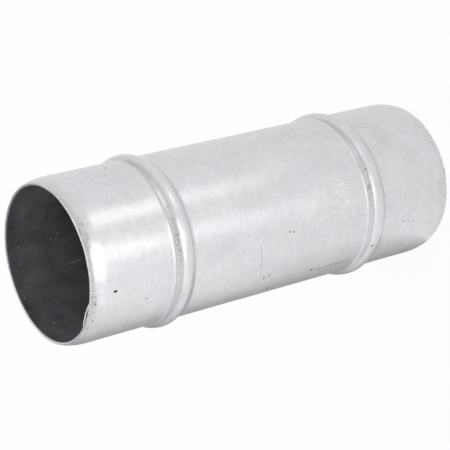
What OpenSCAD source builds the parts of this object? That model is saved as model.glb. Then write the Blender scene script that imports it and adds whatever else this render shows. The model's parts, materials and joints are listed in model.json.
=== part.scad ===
// Duct coupling: one length of steel tube with two rolled beads and both ends rolled in.
// The tube stands on one end. Its axis is Z, and the foot of that end is at Z = 0.

/* [Tube] */
// Outside diameter of the plain tube
tube_d = 100; // [60:1:160]
// Thickness of the sheet, the same in the plain tube, the beads and the ends
wall = 2; // [0.8:0.1:3]

/* [Spigots] */
// From the tip of the lower end to the middle of the lower bead
lower_spigot_length = 62.3; // [45:0.1:90]
// From the tip of the upper end to the middle of the upper bead
upper_spigot_length = 63.7; // [45:0.1:90]
// Between the middles of the two beads
bead_spacing = 146; // [40:0.5:260]

/* [Beads] */
// Rise of a bead above the tube
bead_height = 3; // [1.5:0.1:5]
// Outside radius of a bead's crown
crown_radius = 9; // [5:0.1:12]
// Outside radius of the hollow where a bead leaves the tube
foot_radius = 4.5; // [2:0.1:8]

/* [Rolled ends] */
// Outside radius of the inward curl
curl_radius = 30; // [15:0.5:45]
// Turn of the curl, from the tube to the cut edge
curl_angle = 21; // [8:0.5:32]
// Rounding of the cut edge's two corners
edge_radius = 0.6; // [0.1:0.05:1.5]

/* [Hidden] */
$fn = 180;

// Largest turn between neighbouring points of an arc, and the gap under which two are one
arc_step = 5;
same_point = 0.001;

tube_r = tube_d / 2;
length = lower_spigot_length + bead_spacing + upper_spigot_length;
edge_r = min(edge_radius, wall / 2);

// Each side of a bead turns through this angle where its foot meets its crown
bead_angle = acos(1 - bead_height / (crown_radius + foot_radius));
bead_half_width = (crown_radius + foot_radius) * sin(bead_angle);

// The curl starts this far below the tip, so that the rounded edge ends at the tip
curl_length = (curl_radius - edge_r) * sin(curl_angle) + edge_r;

// The section has X as the distance from the axis and Y as the height.

function direction(angle) = [cos(angle), sin(angle)];

function arc(centre, r, from, to) =
    let (steps = ceil(abs(to - from) / arc_step))
    [for (i = [0:steps]) centre + r * direction(from + (to - from) * i / steps)];

function reversed(points) = [for (i = [len(points) - 1:-1:0]) points[i]];

function without_repeats(points) = [
    for (i = [0:len(points) - 1])
        if (norm(points[i] - points[(i + 1) % len(points)]) > same_point) points[i]
];

// One face of the wall along a bead, upwards: foot, crown, foot. A depth of 0 is the outer face
function bead_face(z, depth) =
    let (crown_x = tube_r + bead_height - crown_radius, foot_x = tube_r + foot_radius)
    concat(
        arc([foot_x, z - bead_half_width], foot_radius + depth, 180, 180 - bead_angle),
        arc([crown_x, z], crown_radius - depth, -bead_angle, bead_angle),
        arc([foot_x, z + bead_half_width], foot_radius + depth, 180 + bead_angle, 180)
    );

// The upper curled end: up its outer face, over the cut edge's two corners and down its inner face
function curled_end() =
    let (
        centre = [tube_r - curl_radius, length - curl_length],
        outer_corner = centre + (curl_radius - edge_r) * direction(curl_angle),
        inner_corner = centre + (curl_radius - wall + edge_r) * direction(curl_angle)
    )
    concat(
        arc(centre, curl_radius, 0, curl_angle),
        arc(outer_corner, edge_r, curl_angle, curl_angle + 90),
        arc(inner_corner, edge_r, curl_angle + 90, curl_angle + 180),
        arc(centre, curl_radius - wall, curl_angle, 0)
    );

// The lower end is the upper one turned over
function turned_over(points) = [for (p = reversed(points)) [p.x, length - p.y]];

// One face of the wall over both beads, upwards
function beaded_face(depth) =
    concat(bead_face(lower_spigot_length, depth), bead_face(length - upper_spigot_length, depth));

module wall_section() {
    polygon(without_repeats(concat(
        beaded_face(0),
        curled_end(),
        reversed(beaded_face(wall)),
        turned_over(curled_end())
    )));
}

module coupling() {
    color("gainsboro")
        rotate_extrude()
            wall_section();
}

coupling();
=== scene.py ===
"""Duct coupling: galvanised steel tube with two rolled beads, standing on one end in a white studio."""

import json
import math

import bmesh
import bpy
import numpy as np
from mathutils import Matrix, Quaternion, Vector, noise


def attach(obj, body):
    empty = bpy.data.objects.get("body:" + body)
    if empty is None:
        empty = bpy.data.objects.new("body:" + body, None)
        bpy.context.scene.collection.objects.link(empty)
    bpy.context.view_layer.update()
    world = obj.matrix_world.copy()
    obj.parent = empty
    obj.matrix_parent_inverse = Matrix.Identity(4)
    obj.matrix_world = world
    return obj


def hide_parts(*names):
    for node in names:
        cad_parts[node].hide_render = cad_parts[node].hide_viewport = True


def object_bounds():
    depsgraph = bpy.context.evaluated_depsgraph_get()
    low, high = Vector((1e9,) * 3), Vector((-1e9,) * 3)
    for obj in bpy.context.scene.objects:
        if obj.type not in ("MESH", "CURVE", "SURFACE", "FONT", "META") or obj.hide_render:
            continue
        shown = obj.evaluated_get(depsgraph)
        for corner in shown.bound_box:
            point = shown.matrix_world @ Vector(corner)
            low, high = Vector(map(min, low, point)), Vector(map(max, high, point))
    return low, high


bl_info = {
    "name": "Duct coupling",
    "version": (1, 0, 0),
    "blender": (4, 5, 0),
    "location": "View3D > Sidebar > Coupling",
    "description": "Dresses the coupling in galvanised steel and sets up its studio",
    "category": "Object",
}

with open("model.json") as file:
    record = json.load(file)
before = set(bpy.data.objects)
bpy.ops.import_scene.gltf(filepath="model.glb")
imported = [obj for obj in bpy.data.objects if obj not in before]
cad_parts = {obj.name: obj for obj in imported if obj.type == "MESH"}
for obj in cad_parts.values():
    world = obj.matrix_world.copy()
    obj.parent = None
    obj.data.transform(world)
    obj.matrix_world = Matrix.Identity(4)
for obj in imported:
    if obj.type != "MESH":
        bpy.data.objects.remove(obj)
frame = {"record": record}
CAD_LOW, CAD_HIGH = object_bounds()

MM = 0.001
NODE = "coupling"

SPIGOT = next(m for m in frame["record"]["mounts"] if m["name"] == "upper_spigot")
TUBE_RADIUS = SPIGOT["dims"]["r_mm"] * MM
LENGTH = CAD_HIGH.z - CAD_LOW.z


class CouplingSizes(bpy.types.PropertyGroup):
    """The wall's section, in the same terms as the solid that it dresses."""

    wall: bpy.props.FloatProperty(
        name="Wall", description="Thickness of the sheet", default=2 * MM, unit="LENGTH"
    )
    lower_spigot_length: bpy.props.FloatProperty(
        name="Lower spigot",
        description="From the tip of the lower end to the middle of its bead",
        default=62.3 * MM,
        unit="LENGTH",
    )
    upper_spigot_length: bpy.props.FloatProperty(
        name="Upper spigot",
        description="From the tip of the upper end to the middle of its bead",
        default=63.7 * MM,
        unit="LENGTH",
    )
    bead_height: bpy.props.FloatProperty(
        name="Bead height", description="Rise of a bead above the tube", default=3 * MM, unit="LENGTH"
    )
    crown_radius: bpy.props.FloatProperty(
        name="Crown radius", description="Outside radius of a bead's crown", default=9 * MM, unit="LENGTH"
    )
    foot_radius: bpy.props.FloatProperty(
        name="Foot radius",
        description="Outside radius of the hollow where a bead leaves the tube",
        default=4.5 * MM,
        unit="LENGTH",
    )
    curl_radius: bpy.props.FloatProperty(
        name="Curl radius", description="Outside radius of the inward curl", default=30 * MM, unit="LENGTH"
    )
    curl_angle: bpy.props.FloatProperty(
        name="Curl angle",
        description="Turn of the curl, from the tube to the cut edge",
        default=math.radians(21),
        subtype="ANGLE",
    )
    edge_radius: bpy.props.FloatProperty(
        name="Edge radius", description="Rounding of the cut edge", default=0.6 * MM, unit="LENGTH"
    )
    hoop_steps: bpy.props.IntProperty(
        name="Steps round the tube", description="Faces in one ring of the mesh", default=256, min=24
    )


class ZincLook(bpy.types.PropertyGroup):
    """The colours and shine of the galvanised steel."""

    zinc: bpy.props.FloatVectorProperty(
        name="Zinc", description="Main colour outside", default=(0.70, 0.709, 0.728), size=3, subtype="COLOR"
    )
    # The bore colour is darkened to stand in for the shade inside the tube: painted shade.
    bore: bpy.props.FloatVectorProperty(
        name="Bore", description="Dull colour inside", default=(0.165, 0.172, 0.182), size=3, subtype="COLOR"
    )
    flux: bpy.props.FloatVectorProperty(
        name="Flux", description="Dark flecks left by the zinc bath", default=(0.02, 0.02, 0.022), size=3,
        subtype="COLOR",
    )
    ash: bpy.props.FloatVectorProperty(
        name="Ash", description="Grey spots and scratches in the zinc", default=(0.36, 0.36, 0.37), size=3,
        subtype="COLOR",
    )
    roughness: bpy.props.FloatProperty(
        name="Roughness", description="Satin of the outside", default=0.25, min=0, max=1, subtype="FACTOR"
    )


class StudioSizes(bpy.types.PropertyGroup):
    """Where the camera stands and how the studio is lit."""

    camera_place: bpy.props.FloatVectorProperty(
        name="Camera", description="Where the camera stands", default=(0, -0.8646, 0.7292),
        size=3, subtype="XYZ",
    )
    camera_aim: bpy.props.FloatVectorProperty(
        name="Aim", description="Point in the middle of the picture", default=(-0.0033, 0.0037, 0.1415),
        size=3, subtype="XYZ",
    )
    camera_roll: bpy.props.FloatProperty(
        name="Roll", description="Turn of the camera about its line of sight",
        default=math.radians(-104.18), subtype="ANGLE",
    )
    camera_angle: bpy.props.FloatProperty(
        name="Field of view", description="Angle that the picture's width takes in",
        default=math.radians(15.2029), subtype="ANGLE",
    )
    floor_size: bpy.props.FloatProperty(
        name="Floor", description="Width of the floor", default=24.0, unit="LENGTH"
    )


def direction(angle):
    return np.array([math.cos(angle), math.sin(angle)])


def arc(centre, radius, start, end, step):
    """Points along an arc from one angle to another, both included, at most step apart along it."""
    steps = max(2, math.ceil(abs(end - start) * radius / step))
    angles = np.linspace(start, end, steps + 1)
    return [np.array(centre) + radius * direction(a) for a in angles]


def straight(start, end, step):
    """Points from start to end, both included, at most step apart."""
    steps = max(1, math.ceil(np.linalg.norm(np.subtract(end, start)) / step))
    return [np.array(start) + (np.array(end) - start) * i / steps for i in range(steps + 1)]


def bead_face(sizes, z, depth, step):
    """One face of the wall along a bead, upwards: foot, crown, foot. A depth of 0 is the outer face."""
    turn = math.acos(1 - sizes.bead_height / (sizes.crown_radius + sizes.foot_radius))
    half_width = (sizes.crown_radius + sizes.foot_radius) * math.sin(turn)
    crown = (TUBE_RADIUS + sizes.bead_height - sizes.crown_radius, z)
    foot_x = TUBE_RADIUS + sizes.foot_radius
    foot = sizes.foot_radius + depth
    half_turn = math.pi
    return (
        arc((foot_x, z - half_width), foot, half_turn, half_turn - turn, step)
        + arc(crown, sizes.crown_radius - depth, -turn, turn, step)
        + arc((foot_x, z + half_width), foot, half_turn + turn, half_turn, step)
    )


def upper_half(sizes, spigot_length):
    """The wall's upper half, up its outer face and down its inner one, and 1 for each point in the bore."""
    outer_step, inner_step, bead_step = 1.25 * MM, 4 * MM, 0.62 * MM
    wall, edge = sizes.wall, sizes.edge_radius
    curl_length = (sizes.curl_radius - edge) * math.sin(sizes.curl_angle) + edge
    centre = np.array([TUBE_RADIUS - sizes.curl_radius, LENGTH - curl_length])
    outer_corner = centre + (sizes.curl_radius - edge) * direction(sizes.curl_angle)
    inner_corner = centre + (sizes.curl_radius - wall + edge) * direction(sizes.curl_angle)
    right_angle = math.pi / 2
    bead_z = LENGTH - spigot_length
    outer = bead_face(sizes, bead_z, 0, bead_step)
    inner = bead_face(sizes, bead_z, wall, 2 * bead_step)[::-1]
    tube_x, bore_x = TUBE_RADIUS, TUBE_RADIUS - wall
    half = (
        straight((tube_x, LENGTH / 2), outer[0], outer_step)
        + outer
        + straight(outer[-1], (tube_x, centre[1]), outer_step)
        + arc(centre, sizes.curl_radius, 0, sizes.curl_angle, 0.9 * MM)
        + arc(outer_corner, edge, sizes.curl_angle, sizes.curl_angle + right_angle, 0.2 * MM)
    )
    bore_start = len(half)
    half += (
        arc(inner_corner, edge, sizes.curl_angle + right_angle, sizes.curl_angle + 2 * right_angle, 0.2 * MM)
        + arc(centre, sizes.curl_radius - wall, sizes.curl_angle, 0, 2 * MM)
        + straight((bore_x, centre[1]), inner[0], inner_step)
        + inner
        + straight(inner[-1], (bore_x, LENGTH / 2), inner_step)
    )
    return half, [0.0] * bore_start + [1.0] * (len(half) - bore_start)


def wall_section(sizes):
    """The wall's closed outline as (distance from the axis, height) points, and 1 for each in the bore."""
    upper, upper_bore = upper_half(sizes, sizes.upper_spigot_length)
    lower, lower_bore = upper_half(sizes, sizes.lower_spigot_length)
    upside_down = [np.array([p[0], LENGTH - p[1]]) for p in lower]
    points = upper + upside_down[::-1]
    bore = upper_bore + lower_bore[::-1]
    same = 1e-7
    kept = [i for i in range(len(points)) if np.linalg.norm(points[i] - points[i - 1]) > same]
    return np.array([points[i] for i in kept]), np.array([bore[i] for i in kept])


def outward(section):
    """Unit normals of a closed outline that runs with its inside on the left."""
    along = np.roll(section, -1, axis=0) - np.roll(section, 1, axis=0)
    normals = np.stack([along[:, 1], -along[:, 0]], axis=1)
    return normals / np.linalg.norm(normals, axis=1, keepdims=True)


def noise_at(points, scale, seed):
    """Smooth noise of about -1 to 1 at each point. Scale is the size of its features, one number or three."""
    scaled = points / np.array(scale) + seed
    return np.array([noise.noise(Vector(p)) for p in scaled])


class Skin:
    """One face of the wall. A place on it is an angle round the axis and a height."""

    def __init__(self, sizes, inside=False):
        section, bore = wall_section(sizes)
        face = section[bore == inside]
        face = face[np.argsort(face[:, 1])]
        self.heights, self.radii = face[:, 1], face[:, 0]
        self.side = -1 if inside else 1

    def radius(self, height):
        return float(np.interp(height, self.heights, self.radii))

    def frame(self, angle, height):
        """The point there, and the directions round the tube, along it and out of the face."""
        reach = 0.4 * MM
        rise = self.radius(height + reach) - self.radius(height - reach)
        lean = math.atan2(rise, 2 * reach)
        out = Vector((math.sin(angle), -math.cos(angle), 0))
        up = Vector((0, 0, 1))
        around = Vector((math.cos(angle), math.sin(angle), 0))
        point = out * self.radius(height) + up * height
        along = out * math.sin(lean) + up * math.cos(lean)
        normal = (out * math.cos(lean) - up * math.sin(lean)) * self.side
        return point, around, along, normal


class Builder:
    """Gathers closed parts into one mesh."""

    def __init__(self):
        self.verts, self.faces = [], []

    def add(self, verts, faces):
        start = len(self.verts)
        self.verts.extend(verts)
        self.faces.extend([tuple(start + i for i in face) for face in faces])

    def lump(self, skin, angle, height, half_around, half_along, rise, turn=0.0, seed=0.0):
        """A closed lens-shaped lump that sits half sunk in the face, with an uneven outline."""
        point, around, along, normal = skin.frame(angle, height)
        verts = []
        for shape in LUMP_VERTS:
            wobble = 1 + 0.6 * noise.noise(shape * 2.0 + Vector((seed, seed * 2.1, seed * 0.7)))
            x, y = shape.x * half_around * wobble, shape.y * half_along * wobble
            sideways = x * math.cos(turn) - y * math.sin(turn)
            upwards = x * math.sin(turn) + y * math.cos(turn)
            lift = shape.z * rise * wobble
            verts.append(point + around * sideways + along * upwards + normal * lift)
        self.add(verts, LUMP_FACES)

    def ridge(self, points, normals, half_width, rise, ends=0.25):
        """A closed ridge along a line of points, tapered to nothing over its ends."""
        count = len(points)
        ring = [(math.cos(a), math.sin(a)) for a in np.arange(8) * math.pi / 4]
        verts = [points[0]]
        for i in range(1, count - 1):
            t = i / (count - 1)
            taper = min(1.0, t / ends, (1 - t) / ends)
            taper = math.sin(taper * math.pi / 2)
            along = (points[i + 1] - points[i - 1]).normalized()
            across = along.cross(normals[i]).normalized()
            for c, n in ring:
                verts.append(points[i] + across * (c * half_width * taper) + normals[i] * (n * rise * taper))
        verts.append(points[-1])
        faces = []
        last = len(verts) - 1
        for k in range(8):
            m = (k + 1) % 8
            faces.append((0, 1 + k, 1 + m))
            faces.append((last, last - 8 + m, last - 8 + k))
            for i in range(count - 3):
                a, b = 1 + i * 8, 1 + (i + 1) * 8
                faces.append((a + k, b + k, b + m, a + m))
        self.add(verts, faces)

    def line(self, skin, places, half_width, rise, step=0.5 * MM, wander=0.0, seed=0.0, ends=0.25):
        """A ridge that follows a face through places given as (degrees, mm)."""
        spots = [(math.radians(a), h * MM) for a, h in places]
        points, normals = [], []
        for (a0, h0), (a1, h1) in zip(spots, spots[1:]):
            length = math.hypot((a1 - a0) * TUBE_RADIUS, h1 - h0)
            steps = max(2, math.ceil(length / step))
            for i in range(steps):
                t = i / steps
                points.append((a0 + (a1 - a0) * t, h0 + (h1 - h0) * t))
        points.append(spots[-1])
        for _ in range(2):
            inner = [
                tuple((p[k] + 2 * q[k] + r[k]) / 4 for k in (0, 1))
                for p, q, r in zip(points, points[1:], points[2:])
            ]
            points = [points[0], *inner, points[-1]]
        placed = []
        for i, (angle, height) in enumerate(points):
            drift = wander * noise.noise(Vector((i * 0.21, seed, 0.0)))
            point, around, along, normal = skin.frame(angle + drift / TUBE_RADIUS, height + drift)
            placed.append(point)
            normals.append(normal)
        self.ridge(placed, normals, half_width, rise, ends)


def lump_shape():
    ball = bmesh.new()
    bmesh.ops.create_icosphere(ball, subdivisions=2, radius=1.0)
    verts = [v.co.copy() for v in ball.verts]
    faces = [tuple(v.index for v in f.verts) for f in ball.faces]
    ball.free()
    return verts, faces


LUMP_VERTS, LUMP_FACES = lump_shape()


def new_piece(name, verts, faces, materials):
    mesh = bpy.data.meshes.new(name)
    mesh.from_pydata([tuple(v) for v in verts], [], faces)
    mesh.validate()
    mesh.shade_smooth()
    for material in materials:
        mesh.materials.append(material)
    piece = bpy.data.objects.new(name, mesh)
    bpy.context.scene.collection.objects.link(piece)
    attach(piece, "root")
    return piece


def smooth(values, low, high):
    """0 below low, 1 above high and a smooth step between."""
    t = np.clip((values - low) / (high - low), 0, 1)
    return t * t * (3 - 2 * t)


def patch(angles, heights, angle, height, half_around, half_along):
    """1 in the middle of an oval patch and 0 outside it. The patch is given in degrees and mm."""
    turn = (angles - math.radians(angle) + math.pi) % (2 * math.pi) - math.pi
    rise = heights - height * MM
    reach = np.hypot(turn * TUBE_RADIUS / (half_around * MM), rise / (half_along * MM))
    return 1 - smooth(reach, 0.4, 1.0)


def patches(places, angles, heights):
    """The patches of a table laid over each other, each at its own strength."""
    total = np.zeros(len(angles))
    for angle, height, half_around, half_along, strength in places:
        total += strength * patch(angles, heights, angle, height, half_around, half_along)
    return total


def ring(heights, height, half_along):
    """1 in the middle of a band round the tube and 0 outside it. The band is given in mm."""
    return 1 - smooth(abs(heights - height * MM), 0.3 * half_along * MM, half_along * MM)


def unevenness(verts, heights):
    """How far each point stands out of the plain wall: waves, small lumps and ragged cut edges."""
    waves = 0.05 * MM * (noise_at(verts, 22 * MM, 3.0) - 0.5)
    lumps = 0.012 * MM * (noise_at(verts, 5 * MM, 11.0) - 0.5)
    rim = smooth(abs(heights - LENGTH / 2), LENGTH / 2 - 2.5 * MM, LENGTH / 2)
    ragged = rim * (0.10 * noise_at(verts, 2.2 * MM, 5.0) + 0.12 * noise_at(verts, 9 * MM, 8.0) - 0.16) * MM
    return waves + lumps + np.minimum(ragged, 0)


def grime_and_shade_on(sizes, verts, angles, heights):
    """Soiling beside the beads, at the cut edges and in the stains, a painted shade in the crease below each
    bead, and a wider darker band at the lower end.
    """
    grime_and_shade = patches(STAINS, angles, heights)
    for bead_z in (LENGTH - sizes.upper_spigot_length, sizes.lower_spigot_length):
        groove_above, groove_below = bead_z / MM + 4.8, bead_z / MM - 6.6
        around = 0.2 + 0.2 * noise_at(verts, (30 * MM, 30 * MM, 200 * MM), 17.0)
        around += 0.8 * patch(angles, heights, 2, groove_above, 22, 9)
        around += 0.6 * patch(angles, heights, 52, groove_above, 20, 9)
        grime_and_shade += ring(heights, groove_above, 2.0) * around
        # A dark line in the crease below each bead: painted shade.
        grime_and_shade += 0.8 * ring(heights, groove_below, 1.3)
    # Darker bands at both ends, the lower one wider and darker.
    return grime_and_shade + 0.25 * ring(heights, LENGTH / MM - 1.5, 4.0) + 0.4 * ring(heights, 1.5, 9)


def build_shell(sizes, look):
    """The whole wall as one mesh, slightly uneven, with its soiling, painted shade and scuffs as attributes.
    """
    section, bore = wall_section(sizes)
    normals = outward(section)
    rings, steps = len(section), sizes.hoop_steps
    angles = np.arange(steps) * 2 * math.pi / steps
    all_angles = np.tile(angles, rings)
    all_bore = np.repeat(bore, steps)
    radii, heights = (np.repeat(section[:, i], steps) for i in (0, 1))
    lean_out, lean_up = (np.repeat(normals[:, i], steps) for i in (0, 1))
    round_x, round_y = np.sin(all_angles), -np.cos(all_angles)
    verts = np.stack([radii * round_x, radii * round_y, heights], axis=-1)
    lean = np.stack([lean_out * round_x, lean_out * round_y, lean_up], axis=-1)
    verts = verts + lean * unevenness(verts, heights)[:, None]
    verts[:, 2] = np.clip(verts[:, 2], 0, LENGTH)
    faces = []
    inside = []
    for i in range(rings):
        here, there = i * steps, (i + 1) % rings * steps
        in_bore = int(bore[i] and bore[(i + 1) % rings])
        for j in range(steps):
            k = (j + 1) % steps
            faces.append((here + j, here + k, there + k, there + j))
            inside.append(in_bore)
    piece = new_piece("coupling_shell", verts, faces, [zinc_material(look), bore_shade_material(look)])
    piece.data.polygons.foreach_set("material_index", inside)
    outside = 1 - all_bore
    grime_and_shade = np.clip(grime_and_shade_on(sizes, verts, all_angles, heights), 0, 1) * outside
    scuffs = np.clip(patches(SCUFFS, all_angles, heights), 0, 1)
    for name, values in (("grime_and_shade", grime_and_shade), ("scuffs", scuffs)):
        layer = piece.data.attributes.new(name, "FLOAT", "POINT")
        layer.data.foreach_set("value", values.astype(np.float32))
    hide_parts(NODE)
    return piece


# Places on the outside: degrees round from the front, mm up, half sizes round and along in mm, strength.
STAINS = (
    (-35, 269, 14, 3.5, 0.6),
    (12, 269, 15, 3.5, 1.0),
    (-12, 270, 9, 1.2, 0.8),
    (-34, 269, 3, 1.5, 0.8),
    (-49, 268.5, 2.5, 1.2, 0.6),
    (-53, 146, 3, 2.5, 0.5),
    (-70, 137, 2.5, 3, 0.5),
    (-40, 152, 3, 14, 0.25),
    (29, 39, 16, 9, 0.3),
    (13, 26, 12, 8, 0.25),
    (-63, 35, 8, 8, 0.4),
    (-75, 20, 10, 7, 0.4),
    (-60, 90, 1.2, 16, 0.5),
    (150, 120, 16, 22, 0.3),
    (110, 200, 14, 9, 0.3),
    (-130, 40, 18, 12, 0.3),
    (-150, 230, 12, 16, 0.3),
)
SCUFFS = (
    (-2, 103, 24, 34, 0.6),
    (-2, 88, 14, 8, 0.7),
    (35, 110, 16, 28, 0.3),
    (160, 150, 22, 40, 0.5),
    (-110, 180, 18, 30, 0.4),
    (100, 60, 16, 22, 0.4),
)
# Flux flecks: degrees, mm up, half sizes round and along in mm, rise in mm.
FLECKS = (
    (-29.0, 256.4, 0.72, 1.30, 0.32),
    (-59.9, 106.7, 0.33, 1.20, 0.20),
    (-19.6, 131.4, 0.50, 0.52, 0.20),
    (-20.4, 127.9, 0.38, 0.42, 0.15),
    (66.7, 229.0, 0.28, 0.50, 0.15),
    (-53.1, 146.1, 0.50, 0.60, 0.18),
    (-70.1, 136.7, 0.55, 0.65, 0.18),
    (-35.6, 268.9, 0.34, 0.40, 0.12),
    (-50.0, 268.5, 0.34, 0.36, 0.12),
)
# Spots of ash, paler than the flux, in the same terms.
ASH_SPOTS = (
    (-41.1, 234.3, 0.50, 0.60, 0.12),
    (25.8, 159.2, 0.20, 0.30, 0.08),
    (1.0, 161.9, 0.22, 0.50, 0.08),
    (44.3, 45.3, 0.35, 0.60, 0.10),
    (-8.9, 47.2, 0.40, 0.45, 0.12),
    (-34.5, 38.9, 0.28, 0.90, 0.08),
    (-35.3, 34.5, 0.26, 0.80, 0.08),
    (-36.9, 29.9, 0.30, 0.70, 0.08),
    (-46.8, 64.2, 0.70, 0.80, 0.20),
    (-15.1, 161.3, 0.25, 0.80, 0.08),
    (-30.6, 268.8, 0.55, 0.45, 0.10),
    (-34.4, 269.2, 0.70, 0.35, 0.10),
    (-35.9, 268.5, 0.50, 0.55, 0.10),
    (-33.3, 268.3, 0.30, 0.30, 0.08),
    (-49.5, 268.6, 0.60, 0.40, 0.10),
    (-57.0, 270.0, 0.40, 0.30, 0.08),
    (-48.5, 259.0, 0.22, 0.30, 0.06),
    (-52.0, 142.5, 0.60, 0.80, 0.12),
    (-62.0, 99.0, 0.45, 1.00, 0.10),
    (-62.0, 90.0, 0.35, 1.40, 0.08),
)
# Zinc splashes in the bore, in the same terms.
SPLASHES = (
    (162.8, 262.8, 0.30, 0.30, 0.15),
    (162.6, 240.1, 0.30, 0.30, 0.15),
    (175.4, 262.6, 0.35, 0.30, 0.15),
    (-159.3, 267.9, 0.30, 0.35, 0.15),
    (159.3, 235.2, 0.25, 0.25, 0.15),
    (-133.5, 258.7, 0.45, 0.45, 0.20),
)


def build_flecks(sizes, look):
    """Flux flecks and ash in the zinc: the ones that the eye picks out, and small ones all round."""
    skin, draw = Skin(sizes), np.random.default_rng(7)
    flux, ash = Builder(), Builder()
    for parts, spots in ((flux, FLECKS), (ash, ASH_SPOTS)):
        for number, (angle, height, around, along, rise) in enumerate(spots):
            parts.lump(
                skin, math.radians(angle), height * MM, around * MM, along * MM, rise * MM, 0.0, float(number)
            )
    for number in range(50):
        parts = flux if number % 9 == 0 else ash
        angle, height = draw.uniform(-math.pi, math.pi), draw.uniform(6, LENGTH / MM - 6) * MM
        size = draw.uniform(0.08, 0.22) * MM
        long = size * draw.uniform(1.0, 2.8)
        turn = draw.uniform(-0.6, 0.6)
        if skin.radius(height) < TUBE_RADIUS + 2 * MM:
            parts.lump(skin, angle, height, size, long, 0.06 * MM, turn, 40.0 + number)
    for bead in (sizes.lower_spigot_length, LENGTH - sizes.upper_spigot_length):
        for number in range(70):
            angle = math.radians(draw.normal(-2, 10)) if number < 50 else draw.uniform(-math.pi, math.pi)
            height = bead + draw.uniform(3.4, 6.0) * MM
            size = draw.uniform(0.08, 0.24) * MM
            ash.lump(skin, angle, height, size * 1.3, size, 0.05 * MM, 0.0, 200.0 + number)
    new_piece("flux_flecks", flux.verts, flux.faces, [spot_material("flux", look.flux)])
    new_piece("ash_spots", ash.verts, ash.faces, [spot_material("ash", look.ash)])


def build_run(sizes):
    """The small frozen run of zinc on the side."""
    skin, parts = Skin(sizes), Builder()
    path = [(77, 136.5), (71, 132), (64, 130.6), (62.6, 127.8), (64.5, 124.5), (66.8, 121.5), (66.4, 117.5)]
    parts.line(skin, path, 0.6 * MM, 0.2 * MM, ends=0.3)
    # The run's pale colour stands in partly for the light on its lower side: painted highlight.
    new_piece("zinc_run", parts.verts, parts.faces, [bright_material()])


def build_sliver():
    """The sliver of zinc that hangs over the bore at the rim."""
    parts = Builder()
    rim = LENGTH / MM
    path = [
        (-35, 46.9, rim - 0.5), (-38, 46.5, rim - 0.4), (-42, 45.7, rim - 0.5), (-46, 44.9, rim - 0.7),
        (-48, 44.7, rim - 0.9), (-51, 45.2, rim - 0.8), (-55, 45.5, rim - 0.9), (-58, 46.2, rim - 1.0),
        (-60, 46.9, rim - 0.9),
    ]
    dense = []
    for start, end in zip(path, path[1:]):
        for i in range(4):
            dense.append([s + (e - s) * i / 4 for s, e in zip(start, end)])
    points = []
    for angle, radius, height in dense:
        a = math.radians(angle)
        points.append(Vector((math.sin(a) * radius, -math.cos(a) * radius, height)) * MM)
    normals = [Vector((0, 0, 1))] * len(points)
    parts.ridge(points, normals, 0.55 * MM, 0.4 * MM, ends=0.2)
    new_piece("rim_sliver", parts.verts, parts.faces, [bright_material()])


def build_rim_beads(sizes):
    """Small beads of zinc along the cut edges, closest together at the torn stretch."""
    skin, parts, draw = Skin(sizes), Builder(), np.random.default_rng(19)
    edges = ((LENGTH - 0.5 * MM, 190), (0.5 * MM, 60))
    for height, count in edges:
        for number in range(count):
            angle = math.radians(draw.normal(-20, 45)) if number % 2 else draw.uniform(-math.pi, math.pi)
            size = draw.uniform(0.14, 0.3) * MM
            long = size * draw.uniform(1.0, 3.4)
            place = height + draw.uniform(-0.3, 0.1) * MM * (1 if height > LENGTH / 2 else -1)
            parts.lump(skin, angle, place, long, size, 0.1 * MM, 0.0, 300.0 + number)
    # Their pale colour stands in partly for the highlight on the cut edge: painted highlight.
    new_piece("rim_beads", parts.verts, parts.faces, [bright_material()])


def build_scratches(sizes, look):
    """Two scratches outside, and the splashes and the scratch in the bore."""
    skin, bore = Skin(sizes), Skin(sizes, inside=True)
    parts = Builder()
    long_scratch = [(-60, 107), (-61.5, 97), (-61, 84), (-62, 72)]
    parts.line(skin, long_scratch, 0.22 * MM, 0.04 * MM, wander=0.3 * MM)
    hairline = [(-22, 153.5), (-30, 152.5), (-44, 151)]
    parts.line(skin, hairline, 0.12 * MM, 0.03 * MM, wander=0.5 * MM, seed=4.0)
    new_piece("scratches", parts.verts, parts.faces, [spot_material("ash", look.ash)])
    parts = Builder()
    for number, (angle, height, around, along, rise) in enumerate(SPLASHES):
        parts.lump(
            bore, math.radians(angle), height * MM, around * MM, along * MM, rise * MM, 0.0, 90.0 + number
        )
    parts.line(bore, [(-176.3, 234.3), (-177.2, 220.4)], 0.16 * MM, 0.05 * MM)
    new_piece("bore_splashes", parts.verts, parts.faces, [bright_material()])


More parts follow.
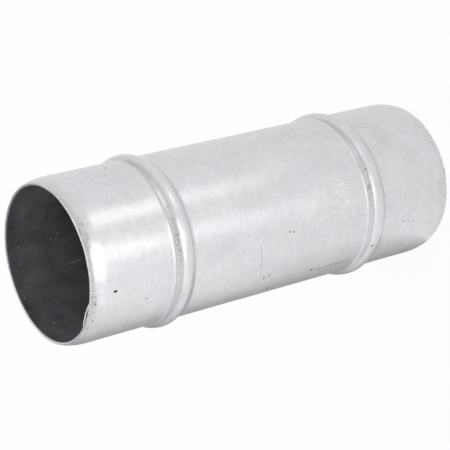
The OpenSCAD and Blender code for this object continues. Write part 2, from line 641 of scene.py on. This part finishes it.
class Tree:
    """Adds nodes to a node tree, each with its inputs set or linked by name."""

    def __init__(self, tree):
        self.nodes, self.links = tree.nodes, tree.links

    def add(self, kind, inputs=None, **settings):
        node = self.nodes.new(kind)
        for name, value in settings.items():
            setattr(node, name, value)
        for name, value in (inputs or {}).items():
            self.put(node.inputs[name], value)
        return node

    def put(self, socket, value):
        if isinstance(value, bpy.types.NodeSocket):
            self.links.new(value, socket)
        else:
            socket.default_value = value

    def math(self, operation, *values, clamp=False):
        node = self.nodes.new("ShaderNodeMath")
        node.operation, node.use_clamp = operation, clamp
        for socket, value in zip(node.inputs, values):
            self.put(socket, value)
        return node.outputs[0]

    def vector(self, operation, a, b):
        node = self.nodes.new("ShaderNodeVectorMath")
        node.operation = operation
        self.put(node.inputs[0], a)
        self.put(node.inputs[1], b)
        return node.outputs[0]

    def mix(self, factor, a, b, blend="MIX"):
        node = self.nodes.new("ShaderNodeMix")
        node.data_type, node.blend_type = "RGBA", blend
        self.put(node.inputs["Factor"], factor)
        self.put(node.inputs[6], a)
        self.put(node.inputs[7], b)
        return node.outputs[2]

    def ramp(self, value, low, high, out_low=0.0, out_high=1.0, kind="SMOOTHSTEP"):
        node = self.nodes.new("ShaderNodeMapRange")
        node.interpolation_type = kind
        for socket, number in zip(node.inputs, (value, low, high, out_low, out_high)):
            self.put(socket, number)
        return node.outputs[0]

    def noise(self, vector, scale, detail, roughness=0.5):
        inputs = {"Vector": vector, "Scale": scale, "Detail": detail, "Roughness": roughness}
        return self.add("ShaderNodeTexNoise", inputs).outputs["Fac"]

    def profile(self, value, low, high, stops, peak=1.25):
        """A smooth curve through stops, which are (value, result) pairs."""
        place = self.ramp(value, low, high, kind="LINEAR")
        node = self.add("ShaderNodeValToRGB", {"Fac": place})
        node.color_ramp.interpolation = "CARDINAL"
        elements = node.color_ramp.elements
        while len(elements) < len(stops):
            elements.new(0.5)
        for element, (at, shade) in zip(elements, stops):
            element.position = (at - low) / (high - low)
            element.color = (shade / peak, shade / peak, shade / peak, 1)
        return self.math("MULTIPLY", node.outputs["Color"], peak)

    def place_group(self, group, inputs):
        node = self.add("ShaderNodeGroup", node_tree=group)
        for name, value in inputs.items():
            self.put(node.inputs[name], value)
        return node.outputs


def new_material(name):
    material = bpy.data.materials.new(name)
    material.use_nodes = True
    material.node_tree.nodes.clear()
    return material, Tree(material.node_tree)


def rgba(colour):
    return (*colour, 1.0)


def new_group(name, inputs, outputs):
    """An empty node group with named sockets. Returns the group, a tree, and its ends."""
    group = bpy.data.node_groups.new(name, "ShaderNodeTree")
    for in_out, sockets in (("INPUT", inputs), ("OUTPUT", outputs)):
        for socket_name, kind in sockets.items():
            group.interface.new_socket(socket_name, in_out=in_out, socket_type=kind)
    tree = Tree(group)
    start, end = tree.nodes.new("NodeGroupInput"), tree.nodes.new("NodeGroupOutput")
    return group, tree, start.outputs, end.inputs


def mottle_group():
    """Cloudy light and dark in a colour, with a drift between a cold and a warm tint."""
    name = "mottle"
    if name in bpy.data.node_groups:
        return bpy.data.node_groups[name]
    inputs = {
        "Vector": "NodeSocketVector", "Color": "NodeSocketColor", "Size": "NodeSocketFloat",
        "Contrast": "NodeSocketFloat", "Tint": "NodeSocketFloat",
    }
    outputs = {"Color": "NodeSocketColor", "Cloud": "NodeSocketFloat"}
    group, tree, given, out = new_group(name, inputs, outputs)
    scale = tree.math("DIVIDE", 1.0, given["Size"])
    cloud = tree.noise(given["Vector"], scale, 4.0, 0.7)
    centred = tree.math("SUBTRACT", cloud, 0.5)
    shade = tree.math("MULTIPLY_ADD", centred, given["Contrast"], 1.0)
    shifted = tree.vector("ADD", given["Vector"], (0.31, 0.17, 0.23))
    drift = tree.math("SUBTRACT", tree.noise(shifted, scale, 3.0, 0.6), 0.5)
    tint = tree.math("MULTIPLY", drift, given["Tint"])
    warm = tree.math("MULTIPLY_ADD", tint, -0.5, shade)
    blue = tree.math("ADD", shade, tint)
    factors = tree.add("ShaderNodeCombineColor", {"Red": warm, "Green": warm, "Blue": blue}).outputs[0]
    tree.put(out["Color"], tree.mix(1.0, given["Color"], factors, "MULTIPLY"))
    tree.put(out["Cloud"], cloud)
    return group


def strokes_group():
    """A mask of short strokes: noise drawn out by its scale, and cut off at a threshold."""
    name = "strokes"
    if name in bpy.data.node_groups:
        return bpy.data.node_groups[name]
    inputs = {
        "Vector": "NodeSocketVector", "Scale": "NodeSocketVector", "Low": "NodeSocketFloat",
        "High": "NodeSocketFloat",
    }
    group, tree, given, out = new_group(name, inputs, {"Mask": "NodeSocketFloat"})
    drawn = tree.vector("MULTIPLY", given["Vector"], given["Scale"])
    fibres = tree.noise(drawn, 1.0, 2.0, 0.6)
    tree.put(out["Mask"], tree.ramp(fibres, given["Low"], given["High"]))
    return group


HOOP_STROKES = (110, 110, 900)
AXIAL_STROKES = (1500, 1500, 170)


def zinc_material(look):
    name = "galvanised_steel"
    if name in bpy.data.materials:
        return bpy.data.materials[name]
    material, tree = new_material(name)
    place = tree.add("ShaderNodeTexCoord").outputs["Object"]
    wide = tree.place_group(
        mottle_group(),
        {"Vector": place, "Color": rgba(look.zinc), "Size": 26 * MM, "Contrast": 0.27, "Tint": 0.055},
    )
    fine = tree.place_group(
        mottle_group(),
        {"Vector": place, "Color": wide["Color"], "Size": 5 * MM, "Contrast": 0.23, "Tint": 0.02},
    )
    grain = tree.place_group(
        mottle_group(),
        {"Vector": place, "Color": fine["Color"], "Size": 0.8 * MM, "Contrast": 0.22, "Tint": 0.0},
    )
    hoops = tree.place_group(
        strokes_group(), {"Vector": place, "Scale": HOOP_STROKES, "Low": 0.45, "High": 0.75}
    )["Mask"]
    colour = tree.mix(tree.math("MULTIPLY", hoops, 0.3), grain["Color"], (0.85, 0.86, 0.88, 1))
    scuffs = tree.add("ShaderNodeAttribute", attribute_name="scuffs").outputs["Fac"]
    strokes = tree.place_group(
        strokes_group(), {"Vector": place, "Scale": AXIAL_STROKES, "Low": 0.48, "High": 0.62}
    )["Mask"]
    rubbed = tree.math("MULTIPLY", scuffs, strokes)
    colour = tree.mix(tree.math("MULTIPLY", rubbed, 0.5), colour, (0.92, 0.92, 0.92, 1))
    # Darkening by the soiling mask, which also carries painted shade in the crease below each bead.
    grime_and_shade = tree.add("ShaderNodeAttribute", attribute_name="grime_and_shade").outputs["Fac"]
    spots = tree.noise(place, 420.0, 3.0, 0.65)
    reach = tree.math("MULTIPLY_ADD", grime_and_shade, 0.2, tree.math("SUBTRACT", spots, 0.68))
    dirt_and_shade = tree.ramp(reach, 0.0, 0.12)
    dull = tree.math("MULTIPLY", grime_and_shade, 0.12)
    dirt_and_shade = tree.math("MAXIMUM", tree.math("MULTIPLY", dirt_and_shade, 0.5), dull)
    colour = tree.mix(dirt_and_shade, colour, (0.22, 0.225, 0.235, 1))
    roughness = tree.math("MULTIPLY_ADD", wide["Cloud"], 0.16, look.roughness - 0.08)
    roughness = tree.math("MULTIPLY_ADD", dirt_and_shade, 0.2, roughness)
    height = tree.math("MULTIPLY_ADD", hoops, 0.34, tree.noise(place, 900.0, 3.0, 0.6))
    height = tree.math("MULTIPLY_ADD", rubbed, 0.5, height)
    height = tree.math("MULTIPLY_ADD", tree.noise(place, 380.0, 2.0, 0.5), 0.8, height)
    bump = tree.add("ShaderNodeBump", {"Strength": 0.5, "Distance": 0.02 * MM, "Height": height})
    shader = tree.add(
        "ShaderNodeBsdfPrincipled",
        {"Base Color": colour, "Metallic": 1.0, "Roughness": roughness, "Normal": bump.outputs[0]},
    )
    tree.add("ShaderNodeOutputMaterial", {"Surface": shader.outputs[0]})
    return material


# The bore's dark grey colour stands in for the shade inside the tube: painted shade.
def bore_shade_material(look):
    material, tree = new_material("dull_bore")
    place = tree.add("ShaderNodeTexCoord").outputs["Object"]
    wide = tree.place_group(
        mottle_group(),
        {"Vector": place, "Color": rgba(look.bore), "Size": 16 * MM, "Contrast": 1.5, "Tint": 0.2},
    )
    fine = tree.place_group(
        mottle_group(),
        {"Vector": place, "Color": wide["Color"], "Size": 3 * MM, "Contrast": 0.6, "Tint": 0.0},
    )
    hoops = tree.place_group(
        strokes_group(), {"Vector": place, "Scale": HOOP_STROKES, "Low": 0.4, "High": 0.8}
    )["Mask"]
    height = tree.math("ADD", hoops, fine["Cloud"])
    bump = tree.add("ShaderNodeBump", {"Strength": 0.4, "Distance": 0.05 * MM, "Height": height})
    roughness = tree.ramp(wide["Cloud"], 0.3, 0.7, 0.5, 0.65)
    shader = tree.add(
        "ShaderNodeBsdfPrincipled",
        {
            "Base Color": fine["Color"], "Metallic": 0.35, "Roughness": roughness,
            "Normal": bump.outputs[0],
        },
    )
    tree.add("ShaderNodeOutputMaterial", {"Surface": shader.outputs[0]})
    return material


def bright_material():
    """Fresh zinc, which shows paler than the skin round it, also in the shade of the bore. On the rim beads
    and the run its pale colour is partly a painted highlight.
    """
    name = "fresh_zinc"
    if name in bpy.data.materials:
        return bpy.data.materials[name]
    material, tree = new_material(name)
    place = tree.add("ShaderNodeTexCoord").outputs["Object"]
    colour = tree.place_group(
        mottle_group(),
        {"Vector": place, "Color": (0.86, 0.87, 0.88, 1), "Size": 1.2 * MM, "Contrast": 0.5, "Tint": 0.0},
    )["Color"]
    shader = tree.add("ShaderNodeBsdfPrincipled", {"Base Color": colour, "Metallic": 0.45, "Roughness": 0.4})
    tree.add("ShaderNodeOutputMaterial", {"Surface": shader.outputs[0]})
    return material


def spot_material(name, shade):
    if name in bpy.data.materials:
        return bpy.data.materials[name]
    material, tree = new_material(name)
    place = tree.add("ShaderNodeTexCoord").outputs["Object"]
    colour = tree.place_group(
        mottle_group(),
        {"Vector": place, "Color": rgba(shade), "Size": 1.5 * MM, "Contrast": 0.8, "Tint": 0.0},
    )["Color"]
    shader = tree.add("ShaderNodeBsdfPrincipled", {"Base Color": colour, "Metallic": 0.0, "Roughness": 0.7})
    tree.add("ShaderNodeOutputMaterial", {"Surface": shader.outputs[0]})
    return material


# How white the studio is in each direction round the tube: (degrees from the front, shade). On the floor this
# is painted shade seen in reflections, its dark sector a painted shadow of the tube.
SHADES = (
    (-180, 0.84), (-168, 0.50), (-155, 0.41), (-145, 0.45), (-135, 0.56), (-123, 0.75), (-110, 0.88),
    (-98, 0.97), (-84, 1.02), (-60, 1.06), (0, 1.03), (45, 0.99), (74, 0.96), (100, 0.92), (140, 0.90),
    (165, 0.90), (180, 0.84),
)
# The same with height, from straight down to straight up: (sine of the height angle, shade).
SHADES_ABOVE = (
    (-1, 1), (0.02, 1), (0.1, 0.68), (0.2, 0.72), (0.36, 0.86), (0.7, 0.88), (0.9, 1.1), (1, 1.15),
)
# Directions of two strips of floor that glow in reflections, painted light in place of softboxes, and the
# point that the painted shades on the floor are centred on.
FRONT_GLOW_STRIP = -6
SIDE_GLOW_STRIP = 40
FLOOR_CENTRE = (-47 * MM, -15 * MM)


def bearing_of(tree, x, y):
    """The direction round the tube in degrees, from the front towards +X."""
    angle = tree.math("ARCTAN2", x, tree.math("MULTIPLY", y, -1.0))
    return tree.math("MULTIPLY", angle, 180 / math.pi)


def strip_mask(tree, bearing, middle, core, edge):
    off = tree.math("ABSOLUTE", tree.math("SUBTRACT", bearing, middle))
    return tree.ramp(off, core, edge, 1.0, 0.0)


def horizon_glow(tree, bearing):
    """The lit wall ahead: a bright panel, with a softer one beside it."""
    panel = tree.math("MULTIPLY", strip_mask(tree, bearing, -12, 16, 30), 0.8)
    beside = tree.math("MULTIPLY", strip_mask(tree, bearing, -48, 12, 36), 0.22)
    return tree.math("MAXIMUM", panel, beside)


def build_world():
    world = bpy.data.worlds.new("studio")
    bpy.context.scene.world = world
    world.use_nodes = True
    world.node_tree.nodes.clear()
    tree = Tree(world.node_tree)
    way = tree.add("ShaderNodeTexCoord").outputs["Generated"]
    split = tree.add("ShaderNodeSeparateXYZ", {"Vector": way})
    bearing = bearing_of(tree, split.outputs["X"], split.outputs["Y"])
    base = tree.profile(bearing, -180, 180, SHADES)
    up = split.outputs["Z"]
    above = tree.profile(up, -1, 1, SHADES_ABOVE)
    glow = tree.math("MULTIPLY", horizon_glow(tree, bearing), tree.ramp(up, 0.02, 0.12, 1.0, 0.0))
    shade = tree.math("ADD", tree.math("MULTIPLY", base, above), glow)
    camera = tree.add("ShaderNodeLightPath").outputs["Is Camera Ray"]
    strength = tree.ramp(camera, 0.0, 1.0, shade, 1.0, kind="LINEAR")
    white = tree.add("ShaderNodeBackground", {"Color": (1, 1, 1, 1), "Strength": strength})
    tree.add("ShaderNodeOutputWorld", {"Surface": white.outputs[0]})


# The floor is plain white to the camera; in reflections it shows painted light and painted shade.
def painted_light_floor_material():
    material, tree = new_material("studio_floor")
    place = tree.add("ShaderNodeTexCoord").outputs["Object"]
    split = tree.add("ShaderNodeSeparateXYZ", {"Vector": place})
    x, y = split.outputs["X"], split.outputs["Y"]
    bearing = bearing_of(tree, x, y)
    centre_x, centre_y = FLOOR_CENTRE
    beside = bearing_of(tree, tree.math("SUBTRACT", x, centre_x), tree.math("SUBTRACT", y, centre_y))
    # Painted shade by bearing, whose dark sector is a painted shadow of the tube.
    base = tree.profile(beside, -180, 180, SHADES)
    reach = tree.add("ShaderNodeVectorMath", {0: place}, operation="LENGTH").outputs["Value"]
    # Darker close to the tube: painted shade.
    base = tree.math("MULTIPLY", base, tree.ramp(reach, 0.05, 0.3, 0.93, 1.0))
    # A strip that glows brighter than white: painted light in place of a softbox.
    front = tree.math("MULTIPLY", strip_mask(tree, bearing, FRONT_GLOW_STRIP, 3, 16), 0.55)
    front = tree.math("MULTIPLY", front, tree.ramp(reach, 0.16, 0.5, kind="LINEAR"))
    # A second glowing strip: painted light in place of a softbox.
    side = tree.math("MULTIPLY", strip_mask(tree, bearing, SIDE_GLOW_STRIP, 2, 14), 0.8)
    side = tree.math("MULTIPLY", side, tree.ramp(reach, 0.22, 0.5, kind="LINEAR"))
    side = tree.math("MULTIPLY", side, tree.ramp(reach, 0.5, 0.75, 1.0, 0.0))
    # Darker near the tube's foot on one side: painted shadow.
    foot = tree.math("MULTIPLY", strip_mask(tree, beside, -104, 16, 44), -0.2)
    foot = tree.math("MULTIPLY", foot, tree.ramp(reach, 0.08, 0.33, 1.0, 0.0))
    base = tree.math("MULTIPLY_ADD", base, foot, base)
    base = tree.math("MULTIPLY", base, tree.ramp(reach, 0.45, 1.2, 1.0, 0.94))
    # A glowing panel in the distance: painted light.
    painted_far_glow = tree.math("MULTIPLY", horizon_glow(tree, bearing), tree.ramp(reach, 0.45, 0.75))
    shade = tree.math("ADD", tree.math("ADD", base, side), tree.math("MAXIMUM", front, painted_far_glow))
    # Camera rays see white; glossy rays see the painted light and shade above.
    path = tree.add("ShaderNodeLightPath")
    strength = tree.ramp(path.outputs["Is Camera Ray"], 0.0, 1.0, shade, 1.0, kind="LINEAR")
    white = tree.add("ShaderNodeEmission", {"Color": (1, 1, 1, 1), "Strength": strength})
    paper = tree.add("ShaderNodeBsdfDiffuse", {"Color": (0.95, 0.95, 0.95, 1)})
    seen = tree.math("MAXIMUM", path.outputs["Is Camera Ray"], path.outputs["Is Glossy Ray"])
    share = tree.math("MULTIPLY", seen, 0.93)
    mixed = tree.add("ShaderNodeMixShader", {0: share, 1: paper.outputs[0], 2: white.outputs[0]})
    tree.add("ShaderNodeOutputMaterial", {"Surface": mixed.outputs[0]})
    return material


def build_floor(studio):
    half = studio.floor_size / 2
    corners = [(-half, -half, 0), (half, -half, 0), (half, half, 0), (-half, half, 0)]
    mesh = bpy.data.meshes.new("studio_floor")
    mesh.from_pydata(corners, [], [(0, 1, 2, 3)])
    mesh.materials.append(painted_light_floor_material())
    floor = bpy.data.objects.new("studio_floor", mesh)
    bpy.context.scene.collection.objects.link(floor)


def add_lamp(name, place, aim, size, radiance):
    """A square soft lamp. Its radiance is what a mirror would show of it, where 1 is white."""
    data = bpy.data.lights.new(name, "AREA")
    data.shape = "RECTANGLE"
    data.size = data.size_y = size
    data.energy = radiance * math.pi * size * size
    lamp = bpy.data.objects.new(name, data)
    lamp.location = place
    lamp.rotation_mode = "QUATERNION"
    lamp.rotation_quaternion = (Vector(aim) - Vector(place)).to_track_quat("-Z", "Y")
    lamp.visible_camera = False
    bpy.context.scene.collection.objects.link(lamp)


def build_lamp():
    add_lamp("high_softbox", (0.9, -0.75, 1.4), (0, 0, 0.1), 0.6, 1.4)


def build_camera(studio):
    data = bpy.data.cameras.new("camera")
    data.sensor_width = 36.0
    data.angle = studio.camera_angle
    camera = bpy.data.objects.new("camera", data)
    camera.location = studio.camera_place
    sight = Vector(studio.camera_aim) - Vector(studio.camera_place)
    camera.rotation_mode = "QUATERNION"
    camera.rotation_quaternion = sight.to_track_quat("-Z", "Y") @ Quaternion((0, 0, 1), studio.camera_roll)
    bpy.context.scene.collection.objects.link(camera)
    bpy.context.scene.camera = camera


class COUPLING_OT_shell(bpy.types.Operator):
    """Builds the galvanised shell over the solid coupling"""

    bl_idname = "coupling.shell"
    bl_label = "Shell"

    def execute(self, context):
        build_shell(context.scene.coupling_sizes, context.scene.zinc_look)
        return {"FINISHED"}


class COUPLING_OT_flecks(bpy.types.Operator):
    """Sets the dark flux flecks and the grey ash spots in the zinc"""

    bl_idname = "coupling.flecks"
    bl_label = "Flecks and spots"

    def execute(self, context):
        build_flecks(context.scene.coupling_sizes, context.scene.zinc_look)
        return {"FINISHED"}


class COUPLING_OT_zinc_run(bpy.types.Operator):
    """Adds the frozen run of zinc, and the sliver and the beads of zinc at the rims"""

    bl_idname = "coupling.zinc_run"
    bl_label = "Zinc run, sliver and beads"

    def execute(self, context):
        build_run(context.scene.coupling_sizes)
        build_sliver()
        build_rim_beads(context.scene.coupling_sizes)
        return {"FINISHED"}


class COUPLING_OT_scratches(bpy.types.Operator):
    """Adds the scratches outside and the splashes in the bore"""

    bl_idname = "coupling.scratches"
    bl_label = "Scratches and splashes"

    def execute(self, context):
        build_scratches(context.scene.coupling_sizes, context.scene.zinc_look)
        return {"FINISHED"}


class COUPLING_OT_studio(bpy.types.Operator):
    """Builds the surroundings, the floor, the lamp and the camera"""

    bl_idname = "coupling.studio"
    bl_label = "Studio"

    def execute(self, context):
        studio = context.scene.studio_sizes
        build_world()
        build_floor(studio)
        build_lamp()
        build_camera(studio)
        context.scene.view_settings.view_transform = "Standard"
        return {"FINISHED"}


class VIEW3D_PT_coupling(bpy.types.Panel):
    bl_label = "Duct coupling"
    bl_space_type = "VIEW_3D"
    bl_region_type = "UI"
    bl_category = "Coupling"

    def draw(self, context):
        for operator in OPERATORS:
            self.layout.operator(operator.bl_idname)


OPERATORS = (
    COUPLING_OT_shell,
    COUPLING_OT_flecks,
    COUPLING_OT_zinc_run,
    COUPLING_OT_scratches,
    COUPLING_OT_studio,
)
GROUPS = {"coupling_sizes": CouplingSizes, "zinc_look": ZincLook, "studio_sizes": StudioSizes}


def register():
    for cls in (*GROUPS.values(), *OPERATORS, VIEW3D_PT_coupling):
        bpy.utils.register_class(cls)
    for name, group in GROUPS.items():
        setattr(bpy.types.Scene, name, bpy.props.PointerProperty(type=group))


def unregister():
    for name in GROUPS:
        delattr(bpy.types.Scene, name)
    for cls in reversed((*GROUPS.values(), *OPERATORS, VIEW3D_PT_coupling)):
        bpy.utils.unregister_class(cls)


def main():
    register()
    bpy.ops.coupling.shell()
    bpy.ops.coupling.flecks()
    bpy.ops.coupling.zinc_run()
    bpy.ops.coupling.scratches()
    bpy.ops.coupling.studio()


if __name__ == "__main__":
    main()
